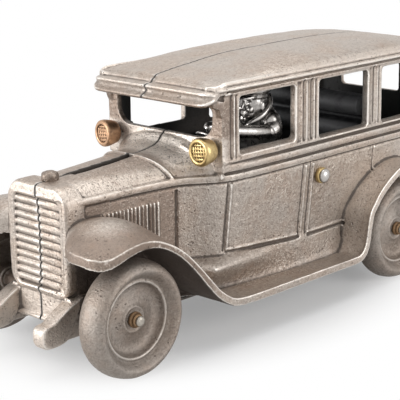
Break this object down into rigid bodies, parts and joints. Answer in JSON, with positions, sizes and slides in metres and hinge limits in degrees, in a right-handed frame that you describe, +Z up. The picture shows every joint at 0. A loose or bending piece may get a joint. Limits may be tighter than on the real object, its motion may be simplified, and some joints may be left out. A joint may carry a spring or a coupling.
{
  "type": "cast iron toy car bank",
  "caption": "Cast iron toy sedan bank in two halves, with a driver, brass lamps, disc wheels that turn and a coin slot behind.",
  "frame": {"origin": "on the ground under the middle of the car's length, on its centre plane", "axes": "+X to the front, +Y to the car's left side, +Z up"},
  "size_m": [0.21, 0.0846, 0.099],
  "materials": {
    "worn_cast_iron": "bare, burnished, pitted",
    "dark_cast_iron": "bare, dark, rough",
    "bright_steel": "worn bright",
    "nickel": "worn nickel",
    "old_brass": "worn",
    "bronze": "dark, worn"
  },
  "bodies": {
    "car": {"body_left": "worn_cast_iron", "body_right": "worn_cast_iron", "radiator_cap": "worn_cast_iron", "front_axle": "bright_steel", "rear_axle": "bright_steel", "hub_washer_front_left": "bronze", "hub_washer_front_right": "bronze", "hub_washer_rear_left": "bronze", "hub_washer_rear_right": "bronze", "lamp_left": "old_brass", "lamp_right": "old_brass", "lamp_stem_left": "dark_cast_iron", "lamp_stem_right": "dark_cast_iron", "body_screw": "nickel", "screw_washer": "old_brass", "screw_nut": "bright_steel", "floor_plate": "dark_cast_iron", "front_seat": "dark_cast_iron", "rear_seat": "dark_cast_iron", "driver": "nickel", "steering_wheel": "nickel", "steering_column": "bright_steel"},
    "wheel_front_left": {"wheel_front_left": "worn_cast_iron"},
    "wheel_front_right": {"wheel_front_right": "worn_cast_iron"},
    "wheel_rear_left": {"wheel_rear_left": "worn_cast_iron"},
    "wheel_rear_right": {"wheel_rear_right": "worn_cast_iron"}
  },
  "joints": [
    {"name": "front_left_wheel_turns", "type": "hinge", "parent": "car", "child": "wheel_front_left", "pos_m": [0.08, 0.0356, 0.021], "axis": [0, 1, 0], "continuous": true},
    {"name": "front_right_wheel_turns", "type": "hinge", "parent": "car", "child": "wheel_front_right", "pos_m": [0.08, -0.0356, 0.021], "axis": [0, 1, 0], "continuous": true},
    {"name": "rear_left_wheel_turns", "type": "hinge", "parent": "car", "child": "wheel_rear_left", "pos_m": [-0.07, 0.0356, 0.021], "axis": [0, 1, 0], "continuous": true},
    {"name": "rear_right_wheel_turns", "type": "hinge", "parent": "car", "child": "wheel_rear_right", "pos_m": [-0.07, -0.0356, 0.021], "axis": [0, 1, 0], "continuous": true}
  ]
}
